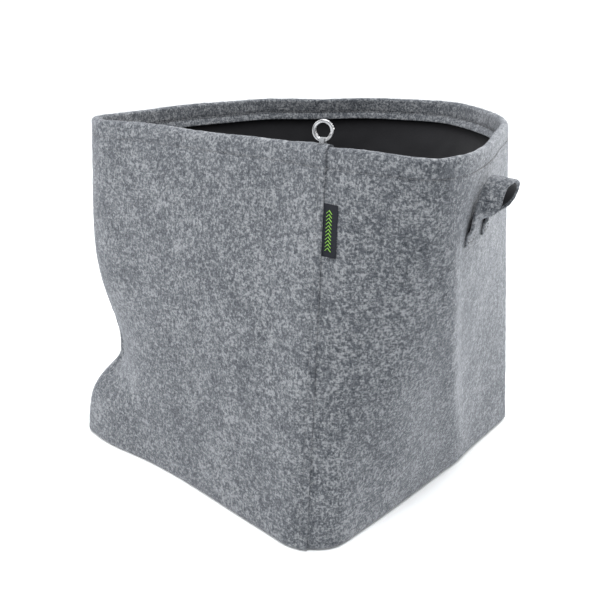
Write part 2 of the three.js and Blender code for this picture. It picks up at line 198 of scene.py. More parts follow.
def nearLap(share):
    around = np.mod(share, 1) * mouth.length
    toLap = np.minimum(around, mouth.length - cut["seamLap"] - cut["gap"] - around)
    return 1 - smooth(np.maximum(0, toLap) / cut["seamEase"])


def wallPoint(share, z, out):
    # share round from the seam, height above the floor, distance out from the wall's outer face
    share, z, out = np.broadcast_arrays(*(np.asarray(v, float) for v in (share, z, out)))
    height = np.clip(z / cut["height"], 0, 1)
    drawn = nearLap(share)
    inHem = np.clip((z - hemBottom) / cut["hemDepth"], 0, 1)
    level = outline(share, height)
    level = level + wallNormal(share, height, broadStep) * sag(share, height)[..., None]
    level = level + wallNormal(share, height) * (out - cut["lapSink"] * drawn)[..., None]
    return np.concatenate([level, (z - lapOffset / 2 * drawn * inHem)[..., None]], -1)


def layerUnder(share):
    # what lies under a thread: the upper layer of the lap, or the plain wall
    pastSeam = np.mod(share, 1) * mouth.length
    upper = lapOffset * nearLap(share)
    return np.where(np.mod(share, 1) > 0.5, upper, lapOffset * (1 - smooth(pastSeam / 2)))


def makePiece(name, points, faces, material, flatFaces=0):
    data = bpy.data.meshes.new(name)
    data.from_pydata((np.asarray(points) * mm).tolist(), [], faces)
    data.validate()
    smoothed = np.ones(len(data.polygons), bool)
    if flatFaces:
        smoothed[-flatFaces:] = False
    data.polygons.foreach_set("use_smooth", smoothed)
    data.materials.append(material)
    data.update()
    piece = bpy.data.objects.new(name, data)
    bpy.context.scene.collection.objects.link(piece)
    return piece


def gridFaces(rows, count, closed=False):
    # quads between rows of rings, each of count points
    i = np.arange(rows if closed else rows - 1)[:, None]
    j = np.arange(count)[None, :]
    a = i * count + j
    b = i * count + (j + 1) % count
    c = ((i + 1) % rows) * count + (j + 1) % count
    d = ((i + 1) % rows) * count + j
    return np.stack([a, b, c, d], -1).reshape(-1, 4).tolist()


def cappedFaces(rows, count):
    # the same with a face over each end
    faces = gridFaces(rows, count)
    faces.append(list(range(count))[::-1])
    faces.append([(rows - 1) * count + k for k in range(count)])
    return faces


def facesOut(points, faces):
    # turns all faces round where the closed mesh came out inside out
    p = np.asarray(points)
    volume = 0
    for face in faces:
        for k in range(1, len(face) - 1):
            volume += np.dot(p[face[0]], np.cross(p[face[k]], p[face[k + 1]]))
    return [face[::-1] for face in faces] if volume < 0 else faces


def gridTurnsIn(grid):
    # a quick volume test for a big grid of closed rings
    a = grid[:-1]
    b = np.roll(grid, -1, axis=1)[:-1]
    c = np.roll(grid, -1, axis=1)[1:]
    d = grid[1:]
    volume = (a * np.cross(b, c)).sum() + (a * np.cross(c, d)).sum()
    return volume < 0


def skin(name, grid, faces, material, flatFaces=0):
    if gridTurnsIn(grid):
        faces = [face[::-1] for face in faces]
    return makePiece(name, grid.reshape(-1, 3), faces, material, flatFaces)


def sweep(name, grid, material, closed=False):
    # a skin over rows of rings; an open sweep is capped at both ends
    rows, count = grid.shape[:2]
    if closed:
        return skin(name, grid, gridFaces(rows, count, True), material)
    return skin(name, grid, cappedFaces(rows, count), material, 2)


def joinPieces(name, parts):
    bpy.ops.object.select_all(action="DESELECT")
    for part in parts:
        part.select_set(True)
    bpy.context.view_layer.objects.active = parts[0]
    bpy.ops.object.join()
    parts[0].name = name
    return parts[0]


def roughen(points, normals, weight, size, depth, seed):
    # pushes points along their normals by a soft noise
    shift = Vector((seed * 7.3, seed * 3.1, seed * 5.7))
    values = np.array([noise.noise(Vector(p) / size + shift) for p in points])
    return points + normals * (values * depth * weight)[:, None]


def gridNormals(grid):
    along = np.gradient(grid, axis=0)
    across = np.roll(grid, -1, axis=1) - np.roll(grid, 1, axis=1)
    normal = np.cross(along, across)
    return normal / np.maximum(np.linalg.norm(normal, axis=-1, keepdims=True), 1e-9)


def tube(name, line, radius, material, sides=10, flat=1.0, first=None):
    # a wire or cord along a line, with rounded ends; first is the side that a flat wire starts from
    line = np.asarray(line, float)
    run = np.gradient(line, axis=0)
    run /= np.linalg.norm(run, axis=1, keepdims=True)
    side = first
    if first is None:
        side = np.cross(run[0], (0, 0, 1) if abs(run[0][2]) < 0.9 else (1, 0, 0))
    angles = np.linspace(0, 2 * np.pi, sides, endpoint=False)

    def ringAt(point, u, v, wide=1.0):
        return [point + wide * radius * (u * math.cos(a) + v * flat * math.sin(a)) for a in angles]

    stations = []
    for point, along in zip(line, run):
        side = side - along * np.dot(side, along)
        side /= np.linalg.norm(side)
        stations.append((point, side, np.cross(along, side)))
    ends = [(0.54, 0.44), (0.33, 0.84)]  # how far past the end and how wide, in radii
    point, u, v = stations[0]
    grid = [ringAt(point - run[0] * past * radius, u, v, wide) for past, wide in ends]
    grid += [ringAt(*station) for station in stations]
    point, u, v = stations[-1]
    grid += [ringAt(point + run[-1] * past * radius, u, v, wide) for past, wide in ends[::-1]]
    return sweep(name, np.array(grid), material)


def stitchRow(name, place, starts, stitch, material):
    # place(along, out) gives points; each stitch is an arched length of thread that dips into the felt
    u = np.linspace(-1, 1, 7)
    along = starts[:, None] + u[None, :] * stitch["length"] / 2
    rise = stitch["rise"] * (1 - u * u) - stitch["dip"] * u**4
    centre = place(along, np.broadcast_to(rise, along.shape))
    outward = place(along, np.broadcast_to(rise + 0.5, along.shape)) - centre
    outward /= np.linalg.norm(outward, axis=-1, keepdims=True)
    run = np.gradient(centre, axis=1)
    run /= np.linalg.norm(run, axis=-1, keepdims=True)
    side = np.cross(run, outward)
    side /= np.linalg.norm(side, axis=-1, keepdims=True)
    up = np.cross(side, run)
    sides = 6
    angles = np.linspace(0, 2 * np.pi, sides, endpoint=False)
    radius = stitch["thread"] / 2 * np.sqrt(1 - 0.8 * u**4)
    ring = (
        centre[:, :, None, :]
        + radius[None, :, None, None] * side[:, :, None, :] * np.cos(angles)[None, None, :, None]
        + radius[None, :, None, None] * up[:, :, None, :] * np.sin(angles)[None, None, :, None]
    )
    rows = len(u)
    one = facesOut(ring[0].reshape(-1, 3), cappedFaces(rows, sides))
    firsts = [i * rows * sides for i in range(len(starts))]
    faces = [[first + corner for corner in face] for first in firsts for face in one]
    return makePiece(name, ring.reshape(-1, 3), faces, material)


class Wire:
    # a node's output that takes part in sums
    def __init__(self, tree, socket=None):
        self.tree = tree
        self.socket = socket

    def node(self, kind, settings, sockets, output=0):
        made = self.tree.nodes.new("ShaderNode" + kind)
        for name, value in settings.items():
            setattr(made, name, value)
        for name, value in sockets.items():
            if isinstance(value, Wire):
                self.tree.links.new(value.socket, made.inputs[name])
            else:
                made.inputs[name].default_value = value
        return Wire(self.tree, made.outputs[output])

    def output(self, name):
        # another output of the same node
        return Wire(self.tree, self.socket.node.outputs[name])

    def sum(self, operation, *values):
        return self.node("Math", {"operation": operation}, dict(enumerate(values)))

    def __add__(self, other):
        return self.sum("ADD", self, other)

    def __radd__(self, other):
        return self.sum("ADD", other, self)

    def __sub__(self, other):
        return self.sum("SUBTRACT", self, other)

    def __rsub__(self, other):
        return self.sum("SUBTRACT", other, self)

    def __mul__(self, other):
        return self.sum("MULTIPLY", self, other)

    def __rmul__(self, other):
        return self.sum("MULTIPLY", other, self)

    def clamp(self, low, high):
        return self.sum("MAXIMUM", self.sum("MINIMUM", self, high), low)

    def spread(self, low, high):
        # 0 at low and 1 at high, eased
        settings = {"interpolation_type": "SMOOTHSTEP"}
        return self.node("MapRange", settings, {"Value": self, "From Min": low, "From Max": high})


def startMaterial(name, roughness, metallic=0.0):
    material = bpy.data.materials.new(name)
    material.use_nodes = True
    tree = material.node_tree
    shader = tree.nodes["Principled BSDF"]
    shader.inputs["Roughness"].default_value = roughness
    shader.inputs["Metallic"].default_value = metallic
    paint = Wire(tree)
    return material, shader, paint, paint.node("TexCoord", {}, {}, "Object")


def feed(paint, shader, **wires):
    names = {"colour": "Base Color", "roughness": "Roughness", "normal": "Normal"}
    for key, wire in wires.items():
        paint.tree.links.new(wire.socket, shader.inputs[names[key]])


def scaled(paint, place, across, up):
    return paint.node("VectorMath", {"operation": "MULTIPLY"}, {0: place, 1: (across, across, up)})


def noiseOf(paint, place, perMetre, detail=2.0, rough=0.5, distortion=0.0):
    sockets = {"Vector": place, "Scale": perMetre, "Detail": detail}
    sockets.update({"Roughness": rough, "Distortion": distortion})
    return paint.node("TexNoise", {}, sockets)


def mixColour(paint, share, first, second):
    # sockets 6 and 7 take the colours, and output 2 gives the mix
    first = first if isinstance(first, Wire) else (*first, 1)
    second = second if isinstance(second, Wire) else (*second, 1)
    return paint.node("Mix", {"data_type": "RGBA"}, {0: share, 6: first, 7: second}, 2)


feltLook = {
    "dark": (0.019, 0.0225, 0.029),
    "middle": (0.069, 0.0755, 0.086),
    "light": (0.25, 0.259, 0.271),
    "speckle": 540,  # per metre
    "clump": 215,
    "patch": 38,
    "fibre": 900,
    "fibreStretch": 0.22,
    "hair": 1900,
    "hairStretch": 0.16,
    "hairColour": (0.5, 0.52, 0.54),
    "hairShare": 0.3,
    "bump": 0.0011,
}


def makeFelt():
    material, shader, paint, place = startMaterial("greyFelt", 0.95)
    shader.inputs["Sheen Weight"].default_value = 0.3
    shader.inputs["Sheen Roughness"].default_value = 0.55
    shader.inputs["Sheen Tint"].default_value = (0.9, 0.93, 1, 1)
    shader.inputs["Specular IOR Level"].default_value = 0.25
    speckle = noiseOf(paint, place, feltLook["speckle"], 4, 0.7, 0.15)
    clump = noiseOf(paint, place, feltLook["clump"], 2, 0.6, 0.3)
    patch = noiseOf(paint, place, feltLook["patch"], 2, 0.5)
    drawnUp = scaled(paint, place, 1, feltLook["fibreStretch"])
    drawnAcross = scaled(paint, place, feltLook["fibreStretch"], 1)
    upright = noiseOf(paint, drawnUp, feltLook["fibre"], 2, 0.6, 0.4)
    level = noiseOf(paint, drawnAcross, feltLook["fibre"], 2, 0.6, 0.4)
    fibres = paint.sum("MAXIMUM", upright, level)
    tone = speckle * 0.72 + clump * 0.33 + fibres * 0.3 + patch * 0.13 - 0.24
    lights = tone.spread(0.47, 0.64)
    darks = 1 - tone.spread(0.33, 0.5)
    colour = mixColour(paint, lights, feltLook["middle"], feltLook["light"])
    colour = mixColour(paint, darks, colour, feltLook["dark"])
    thin = feltLook["hairStretch"]
    ways = [scaled(paint, place, thin, 1), scaled(paint, place, 1, thin)]
    hairs = [noiseOf(paint, way, feltLook["hair"], 1, 0.5, 0.5).spread(0.66, 0.74) for way in ways]
    pale = (hairs[0] + hairs[1]).clamp(0, 1) * feltLook["hairShare"]
    colour = mixColour(paint, pale, colour, feltLook["hairColour"])
    lift = speckle * 0.6 + fibres * 0.5 + clump * 0.35
    normal = paint.node("Bump", {}, {"Height": lift, "Strength": 0.9, "Distance": feltLook["bump"]})
    feed(paint, shader, colour=colour, roughness=0.88 + 0.12 * clump, normal=normal)
    return material


def makeLining():
    material, shader, paint, place = startMaterial("blackLining", 0.85)
    shader.inputs["Sheen Weight"].default_value = 0.12
    shader.inputs["Specular IOR Level"].default_value = 0.3
    grain = noiseOf(paint, place, 900, 3, 0.6)
    cloud = noiseOf(paint, place, 30, 2, 0.5)
    colour = mixColour(paint, grain * 0.6 + cloud * 0.4, (0.009, 0.009, 0.0112), (0.022, 0.022, 0.025))
    normal = paint.node("Bump", {}, {"Height": grain, "Strength": 0.5, "Distance": 0.0004})
    feed(paint, shader, colour=colour, roughness=0.78 + 0.15 * grain, normal=normal)
    return material


def makeThread(name, dark, light):
    material, shader, paint, place = startMaterial(name, 0.7)
    shader.inputs["Sheen Weight"].default_value = 0.2
    twist = noiseOf(paint, place, 2600, 1, 0.5, 1.5)
    colour = mixColour(paint, twist.spread(0.35, 0.65), dark, light)
    normal = paint.node("Bump", {}, {"Height": twist, "Strength": 0.6, "Distance": 0.0002})
    feed(paint, shader, colour=colour, roughness=0.6 + 0.2 * twist, normal=normal)
    return material


def makeSteel():
    material, shader, paint, place = startMaterial("brightSteel", 0.22, 1.0)
    scuff = noiseOf(paint, place, 1400, 3, 0.6, 0.6)
    smear = noiseOf(paint, place, 260, 2, 0.5)
    colour = mixColour(paint, smear.spread(0.35, 0.7), (0.3, 0.3, 0.31), (0.54, 0.54, 0.55))
    normal = paint.node("Bump", {}, {"Height": scuff, "Strength": 0.15, "Distance": 0.0001})
    feed(paint, shader, colour=colour, roughness=0.18 + 0.2 * scuff, normal=normal)
    return material


ribbonLook = {
    "rows": 2200,  # weave per metre
    "columns": 1800,
    "dark": (0.005, 0.006, 0.009),
    "light": (0.022, 0.024, 0.034),
}


def makeRibbon():
    material, shader, paint, place = startMaterial("darkRibbon", 0.6)
    shader.inputs["Specular IOR Level"].default_value = 0.18
    split = paint.node("SeparateXYZ", {}, {0: place})
    rows = paint.sum("SINE", 2 * math.pi * ribbonLook["rows"] * split.output("Z"))
    columns = paint.sum("SINE", 2 * math.pi * ribbonLook["columns"] * split.output("X"))
    weave = rows * columns
    slub = noiseOf(paint, place, 700, 2, 0.5)
    tone = (weave * 0.25 + slub * 0.6).clamp(0, 1)
    colour = mixColour(paint, tone, ribbonLook["dark"], ribbonLook["light"])
    normal = paint.node("Bump", {}, {"Height": weave, "Strength": 0.35, "Distance": 0.0001})
    feed(paint, shader, colour=colour, roughness=0.5 + 0.2 * slub, normal=normal)
    return material


def makeFloor():
    material, shader, paint, place = startMaterial("paleFloor", 0.55)
    soft = noiseOf(paint, place, 3, 1, 0.5)
    colour = mixColour(paint, soft, (0.86, 0.875, 0.885), (0.9, 0.91, 0.915))
    feed(paint, shader, colour=colour)
    return material


felt = makeFelt()
lining = makeLining()
hemThread = makeThread("greyThread", (0.05, 0.052, 0.058), (0.16, 0.165, 0.175))
steel = makeSteel()
ribbon = makeRibbon()
greenThread = makeThread("greenThread", (0.13, 0.34, 0.02), (0.32, 0.66, 0.07))
loopThread = makeThread("paleThread", (0.12, 0.125, 0.135), (0.36, 0.37, 0.385))
print("materials made")

wall = {
    "columnPitch": 2.45,
    "rowPitch": 3.0,
    "groove": 0.75,  # depth that the hem stitching pulls in
    "grooveWidth": 1.5,
    "lumps": [(7.0, 0.34), (3.4, 0.22)],  # size and height of the felt's unevenness
    "beat": 0.18,  # how much the groove's depth swings from stitch to stitch
    "seamGroove": 0.25,
    "seamGrooveWidth": 1.2,
    "wornEdge": 1.7,  # length over which the cut end is rounded
    "hemWave": [(5, 0.5, 1.0), (11, 0.3, 0)],  # waves round the mouth, height, start
    "hemFlare": 1.7,  # how far the free edge of the hem stands off the lining
    "innerRough": 0.8,  # unevenness of the hem's inner face
}


def wallSection():
    # Rows round the cut felt, from the foot up the outside, over the hem and down the inside. Each holds
    # out, out for each mm of layer, z, z for each mm of layer, unevenness and whether it is the inner face.
    radius = hemThick / 2
    inner = radius - cut["felt"]
    middle = (-radius, cut["height"] - radius)
    footRadius = cut["footRadius"]
    rows = []
    for turn in np.linspace(-90, 0, 6)[:-1]:
        a = math.radians(turn)
        rows.append((footRadius * (math.cos(a) - 1), 1, footRadius * (1 + math.sin(a)), 0, 0.3, 0))
    plainTop = hemStitch - 4
    for z in np.linspace(footRadius, plainTop, round((plainTop - footRadius) / wall["rowPitch"])):
        rows.append((0, 1, z, 0, 1, 0))
    stitched = np.arange(plainTop + 1.2, hemStitch + 4.2, 0.8)
    for z in np.concatenate([stitched, [hemStitch + 6.4]]):
        rows.append((0, 1, z, 0, 1, 0))
    for turn in np.linspace(0, 180, 13):
        a = math.radians(turn)
        c, s = math.cos(a), math.sin(a)
        rows.append((middle[0] + radius * c, c, middle[1] + radius * s, s, 1, 0))
    stitched = np.arange(hemStitch + 3.2, hemStitch - 3.3, -0.8)
    for z in np.concatenate([[hemStitch + 5], stitched, [hemBottom + 1]]):
        rows.append((-hemThick, -1, z, 0, wall["innerRough"], 0))
    for turn in np.linspace(180, 360, 6):
        a = math.radians(turn)
        half = cut["felt"] / 2
        z = hemBottom + 0.5 * half * (1 + math.sin(a))
        rows.append((-hemThick + half + half * math.cos(a), -1, z, 0, 0, (1 + math.cos(a)) / 2))
    rows.append((-hemThick + cut["felt"], -1, hemStitch, 0, 0, 1))
    for turn in np.linspace(180, 0, 7):
        a = math.radians(turn)
        c, s = math.cos(a), math.sin(a)
        rows.append((middle[0] + inner * c, c, middle[1] + inner * s, s, 0, 1))
    for z in np.linspace(hemBottom, footRadius, 12):
        rows.append((-cut["felt"], 1, z, 0, 0, 1))
    for turn in np.linspace(0, -90, 5)[1:]:
        a = math.radians(turn)
        r = footRadius - cut["felt"]
        rows.append((-footRadius + r * math.cos(a), 1, footRadius + r * math.sin(a), 0, 0, 1))
    return np.array(rows)


def wallColumns():
    # shares of the columns and the layer that each stands at
    lap, ease = cut["seamLap"], cut["seamEase"]
    under = np.linspace(-lap, 0, 6)[:-1]
    fine = np.arange(0, ease, 1.6)
    plainEnd = mouth.length - lap - ease
    plain = np.linspace(ease, plainEnd, round((plainEnd - ease) / wall["columnPitch"]))
    climb = np.arange(plainEnd + 1.8, mouth.length - lap, 1.8)
    over = np.arange(mouth.length - lap, mouth.length - 1.2, 0.8)
    edge = mouth.length - np.array([1.1, 0.7, 0.4, 0.2, 0.07, 0])
    lengths = np.concatenate([under, fine, plain, climb, over, edge])
    share = lengths / mouth.length
    layer = np.where(share > 0.5, lapOffset * nearLap(share), 0)
    return lengths, share, layer


def makeWall():
    lengths, share, layer = wallColumns()
    outAt, outPer, zAt, zPer, rough, inner = wallSection().T
    press = (cut["felt"] - cut["lapPly"]) * layer[:, None] / lapOffset * inner
    out = outAt + (layer[:, None] + press) * outPer
    z = zAt + (layer[:, None] + press) * zPer
    # the hem thread and the seam thread pull grooves into the felt
    outside = (outPer == 1) & (rough == 1)
    inside = (outPer == -1) & (rough == wall["innerRough"])
    between = 1 - np.cos(2 * np.pi * lengths / hemStitches["pitch"])[:, None]
    pull = wall["groove"] * bell((z - hemStitch) / wall["grooveWidth"]) * (1 - wall["beat"] * between)
    out = out - pull * outside + pull * inside
    out = out - wall["hemFlare"] * smooth((hemStitch - 1 - z) / 5) * (outPer == -1)
    fromEdge = (mouth.length - lengths)[:, None]
    beside = bell((fromEdge - seamStitches["inset"]) / wall["seamGrooveWidth"])
    out = out - wall["seamGroove"] * beside * (z < hemStitch) * outside
    # the cut end of the strip is rounded
    end = np.clip(1 - fromEdge / wall["wornEdge"], 0, 1)
    worn = 1 - np.sqrt(np.maximum(0, 1 - end**2))
    out = out - worn * (0.8 * outside + 0.2 * (inner == 1) * outPer)
    # the hem waves a little in height
    wave = sum(rise * np.sin(2 * np.pi * turns * share + start) for turns, rise, start in wall["hemWave"])
    z = z + wave[:, None] * smooth((z - hemBottom + 30) / 40)
    grid = wallPoint(share[:, None], z, out)
    normals = gridNormals(grid)
    if np.median(((grid - grid.mean((0, 1))) * normals)[:, outside].sum(-1)) < 0:
        normals = -normals
    points = grid.reshape(-1, 3)
    flatNormals = normals.reshape(-1, 3)
    weight = np.broadcast_to(rough, grid.shape[:2]).ravel()
    for index, (size, depth) in enumerate(wall["lumps"]):
        points = roughen(points, flatNormals, weight, size, depth, index + 1)
    piece = sweep("wallFelt", points.reshape(grid.shape), felt)
    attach(piece, "bag")
    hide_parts("wall_felt")
    return piece


innerCloth = {
    "columnPitch": 3.4,
    "rows": 88,
    "rucks": [(26, 46, 3.7, 1.0), (70, 18, 9.1, 0.5)],  # per turn, height, seed, weight
    "ruckDepth": 2.2,
}


def makeWallLining():
    share = np.arange(0, mouth.length, innerCloth["columnPitch"]) / mouth.length
    top = cut["height"] - hemThick / 2
    radius = cut["footRadius"] - cut["felt"] - cut["gap"]
    centreOut, centreZ = -cut["footRadius"], cut["footRadius"]
    turns = np.radians(np.linspace(-90, 0, 5))
    heights = np.linspace(cut["footRadius"] + 2, top, innerCloth["rows"])
    faceOut = [(centreOut + radius * math.cos(a), centreZ + radius * math.sin(a)) for a in turns]
    faceOut += [(liningOut, z) for z in heights]
    thin = radius - cut["lining"]
    faceIn = [(liningOut - cut["lining"], z) for z in heights[::-1]]
    faceIn += [(centreOut + thin * math.cos(a), centreZ + thin * math.sin(a)) for a in turns[::-1]]
    rows = np.array(faceOut + faceIn)
    out = np.broadcast_to(rows[None, :, 0], (len(share), len(rows))).copy()
    z = np.broadcast_to(rows[None, :, 1], out.shape)
    # soft rucks, inwards only
    rucks = np.zeros(out.shape)
    for around, tall, seed, weight in innerCloth["rucks"]:
        rucks += weight * np.array(
            [[noise.noise(Vector((s * around, h / tall, seed))) for h in rows[:, 1]] for s in share]
        )
    free = smooth((hemBottom - 2 - z) / 25) * smooth((z - 6) / 20)
    out -= np.maximum(0, rucks + 0.25) * innerCloth["ruckDepth"] * free
    piece = sweep("wallLining", wallPoint(share[:, None], z, out), lining, closed=True)
    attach(piece, "bag")
    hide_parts("wall_lining")
    return piece


base = {
    "inset": 6.6,
    "liningInset": 6.4,
    "liningFoot": 2.75,
    "rings": 34,
    "columnPitch": 4.0,
    "middle": 0.03,  # the innermost ring, as a share of the outermost
    "rucks": 2.4,  # height of the lining's rucks
}


def unevenness(level, size, seed):
    return np.array([[noise.noise(Vector((p[0] / size, p[1] / size, seed))) for p in ring] for ring in level])


def makePanel(name, inset, bottom, thick, material, ruck):
    # a flat panel built of rings that shrink towards the middle
    share = np.arange(0, mouth.length, base["columnPitch"]) / mouth.length
    edge = wallPoint(share, 0, -inset)[:, :2]
    scale = np.linspace(1, base["middle"], base["rings"])
    level = edge[None] * scale[:, None, None]
    rise = unevenness(level, 42, 1.3) + 0.3 * unevenness(level, 15, 7.3)
    lift = np.maximum(0, rise + 0.25) * ruck * smooth((1 - scale) / 0.12)[:, None]
    top = np.concatenate([level, (bottom + thick + lift)[..., None]], -1)
    low = np.concatenate([level, (bottom + lift)[..., None]], -1)
    grid = np.concatenate([low[::-1], top])
    return skin(name, grid, cappedFaces(*grid.shape[:2]), material)


def makeBase():
    under = makePanel("baseFelt", base["inset"], 0, cut["felt"], felt, 0)
    foot, rucks = base["liningFoot"], base["rucks"]
    over = makePanel("baseLining", base["liningInset"], foot, cut["lining"], lining, rucks)
    for piece, node, slot in ((under, "base_felt", "grey_felt"), (over, "base_lining", "black_lining")):
        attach(piece, "bag")
        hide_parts(node)
    return under, over


# Each stitch rises over the felt at its middle and dips into it at its ends.
hemStitches = {"pitch": 3.6, "length": 2.7, "thread": 0.62, "rise": 0.22, "dip": 0.5, "sunk": 0.75}
seamStitches = {
    "pitch": 3.4, "length": 2.5, "thread": 0.62, "rise": 0.2, "dip": 0.5, "inset": 5, "foot": 6, "sunk": 0.35,
}
baseStitches = {"pitch": 4.2, "length": 3.1, "thread": 0.62, "rise": 0.3, "dip": 0.4, "inset": 1.2}


def makeStitching():
    sunk = wall["groove"] * hemStitches["sunk"]

    def outside(along, out):
        share = along / mouth.length
        return wallPoint(share, hemStitch, layerUnder(share) + out - sunk)

    def inside(along, out):
        share = along / mouth.length
        return wallPoint(share, hemStitch, -hemThick - layerUnder(share) - out + sunk)

    def upSeam(along, out):
        share = 1 - seamStitches["inset"] / mouth.length
        return wallPoint(share, along, lapOffset + out - seamStitches["sunk"])

    def roundBase(along, out):
        z = base["liningFoot"] + cut["lining"] + out
        return wallPoint(along / mouth.length, z, -base["liningInset"] - baseStitches["inset"])

    aroundHem = np.arange(1, mouth.length - 1, hemStitches["pitch"])
    aroundBase = np.arange(1, mouth.length - 1, baseStitches["pitch"])
    up = np.arange(seamStitches["foot"], hemStitch - 2, seamStitches["pitch"])
    rows = [
        ("hemStitchesOutside", outside, aroundHem, hemStitches, "hem_stitching_outside"),
        ("hemStitchesInside", inside, aroundHem, hemStitches, "hem_stitching_inside"),
        ("seamStitches", upSeam, up, seamStitches, "seam_stitching"),
        ("baseStitches", roundBase, aroundBase, baseStitches, "base_stitching"),
    ]
    for name, place, at, stitch, node in rows:
        piece = stitchRow(name, place, at, stitch, hemThread)
        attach(piece, "bag")
        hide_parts(node)


wallFelt = makeWall()
print("wall made")
wallLining = makeWallLining()
baseFelt, baseLining = makeBase()
print("lining and base made")
makeStitching()
print("stitching made")

tag = {
    "length": 36,
    "reach": 12.8,  # from the seam to the free edge
    "tuck": 7.5,
    "drop": 37,
    "ply": 0.12,
    "between": 0.08,
    "lift": 0.06,
    "curl": 0.5,
}
tagMarks = {"count": 11, "wide": 5.0, "tall": 2.2, "thread": 0.7, "at": 5.3, "margin": 4, "arch": 0.16}
tagTop = cut["height"] - tag["drop"]


def tagSection():
    # (length from the seam, distance out) round a ribbon folded in two, with its fold at the free edge
    ply, between, low = tag["ply"], tag["between"], tag["lift"]
    outer = ply + between / 2
    middle = low + outer
    foldAt = tag["reach"] - outer
    turns = np.radians(np.linspace(-90, 90, 9))
    loop = [(x, low) for x in np.linspace(-tag["tuck"], foldAt, 16)[:-1]]
    loop += [(foldAt + outer * math.cos(a), middle + outer * math.sin(a)) for a in turns]
    loop += [(x, low + 2 * outer) for x in np.linspace(foldAt, -tag["tuck"], 16)[1:]]
    inner = between / 2
    loop += [(-tag["tuck"], middle + inner)]
    loop += [(x, middle + inner) for x in np.linspace(-tag["tuck"], foldAt, 16)[1:-1]]
    loop += [(foldAt + inner * math.cos(a), middle + inner * math.sin(a)) for a in turns[::-1]]
    loop += [(x, middle - inner) for x in np.linspace(foldAt, -tag["tuck"], 16)[1:]]
    return np.array(loop)


def tagPlace(along, z, out):
    # the tag lies on the wall and lifts very slightly towards its free edge
    lifted = out + tag["curl"] * smooth((along - 2) / 8)
    return wallPoint(along / mouth.length, z, lifted)


def makeTag():
    heights = np.linspace(tagTop - tag["length"], tagTop, 37)
    loop = tagSection()
    grid = tagPlace(loop[None, :, 0], heights[:, None], loop[None, :, 1])
    piece = sweep("tagRibbon", grid, ribbon)
    hinge = np.array(joints["tag_flip"]["pos_m"])
    # the level direction from the tag's hinge towards a point on the tag
    toward = tagPlace(np.array(5.0), np.array(tagTop - tag["length"] / 2), np.array(0.5)) * mm - hinge
    toward[2] = 0
    toward /= np.linalg.norm(toward)
    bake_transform(piece)
    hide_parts("tag_tuck", "tag_flag")
    return piece


def makeTagMarks():
    # a column of stitched chevrons in place of lettering
    face = tag["lift"] + 2 * tag["ply"] + tag["between"]
    step = (tag["length"] - 2 * tagMarks["margin"]) / tagMarks["count"]
    middles = tagTop - tagMarks["margin"] - step * (np.arange(tagMarks["count"]) + 0.5)
    t = np.linspace(0, 1, 6)
    arms = []
    for z in middles:
        for side in (-1, 1):
            across = tagMarks["at"] + side * t * tagMarks["wide"] / 2
            up = z + (0.5 - t) * tagMarks["tall"]
            line = tagPlace(across, up, face + 0.05 + tagMarks["arch"] * np.sin(np.pi * t))
            arms.append(tube(f"tagMark{len(arms)}", line, tagMarks["thread"] / 2, greenThread, 6, 0.6))
    marks = joinPieces("tagMarks", arms)
    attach(marks, "tag")


tagRibbon = makeTag()
makeTagMarks()
print("tag made")

ring = {
    "diameter": 14.8,
    "wire": 1.35,  # thickness of the flat wire, and its width
    "band": 2.4,
    "turns": 1.95,
    "end": 75,  # degrees from the seat to the wire's end
    "pitch": 1.55,
    "yaw": 24,
    "strands": 6,
    "strandPitch": 0.62,
    "strandThick": 0.72,
    "strandWander": 0.25,
    "strandFoot": 1.4,  # how deep a strand's ends go into the hem
}
ringYaw = math.radians(ring["yaw"])
ringSeat = np.array(joints["ring_swing"]["pos_m"]) / mm
ringAcross = np.array([math.cos(ringYaw), math.sin(ringYaw), 0])
ringThrough = np.array([-math.sin(ringYaw), math.cos(ringYaw), 0])
upward = np.array([0, 0, 1])


def fromSeat(across, through, up):
    places = ringAcross * across[:, None] + ringThrough * through[:, None] + upward * up[:, None]
    return ringSeat + places


def makeRing():
    radius = (ring["diameter"] - ring["band"]) / 2
    turns = ring["end"] / 360 + 1 - ring["turns"] * (1 - np.linspace(0, 1, 150))
    angle = 2 * np.pi * turns
    line = fromSeat(radius * np.sin(angle), (0.5 - turns) * ring["pitch"], radius * (1 - np.cos(angle)))
    flat = ring["band"] / ring["wire"]
    wire = tube("splitRing", line, ring["wire"] / 2, steel, 16, flat, ringThrough)
    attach(wire, "ring")
    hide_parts("split_ring")


def makeRingLoop():
    reach = ring["pitch"] / 2 + ring["wire"] + 0.35
    turn = np.pi * np.linspace(-0.25, 1.25, 26)
    over = (ring["band"] / 2 + 0.4) * np.sin(turn) - ring["strandFoot"] * (np.sin(turn) < 0)
    strands = []
    for index in range(ring["strands"]):
        slide = (index - (ring["strands"] - 1) / 2) * ring["strandPitch"]
        wander = ring["strandWander"] * np.sin(turn * 2 + index)
        line = fromSeat(slide + wander, reach * np.cos(turn), over)
        strands.append(tube(f"ringLoop{index}", line, ring["strandThick"] / 2, loopThread, 7))
    loop = joinPieces("ringLoop", strands)
    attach(loop, "bag")
    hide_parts("ring_loop")


makeRing()
makeRingLoop()
print("ring made")

strap = {
    "width": 16,
    "liningWidth": 12.8,
    "spacing": 37,
    "rise": 30,
    "lift": 0.9,
    "standoff": 8,  # how far the strap leans out, and the part of its turn where it does so
    "lean": (0.25, 0.85),
    "twist": 84,  # degrees that the free strap turns its face, and how soon
    "twistBy": 0.8,
    "freeLength": 86,
    "settle": 1.2,
    "tab": 13,
    "liningTab": 1.5,
    "drop": 56,
    "hingeGap": 2.6,
    "lumps": [(5.0, 0.3), (2.6, 0.2)],
    "shares": {"right": 0.1355, "left": 0.657},
}
strapThick = cut["felt"] + cut["gap"] + cut["lining"]
strapInner = 2 * cut["gap"] + cut["lining"]
strapFoot = cut["height"] - strap["drop"]


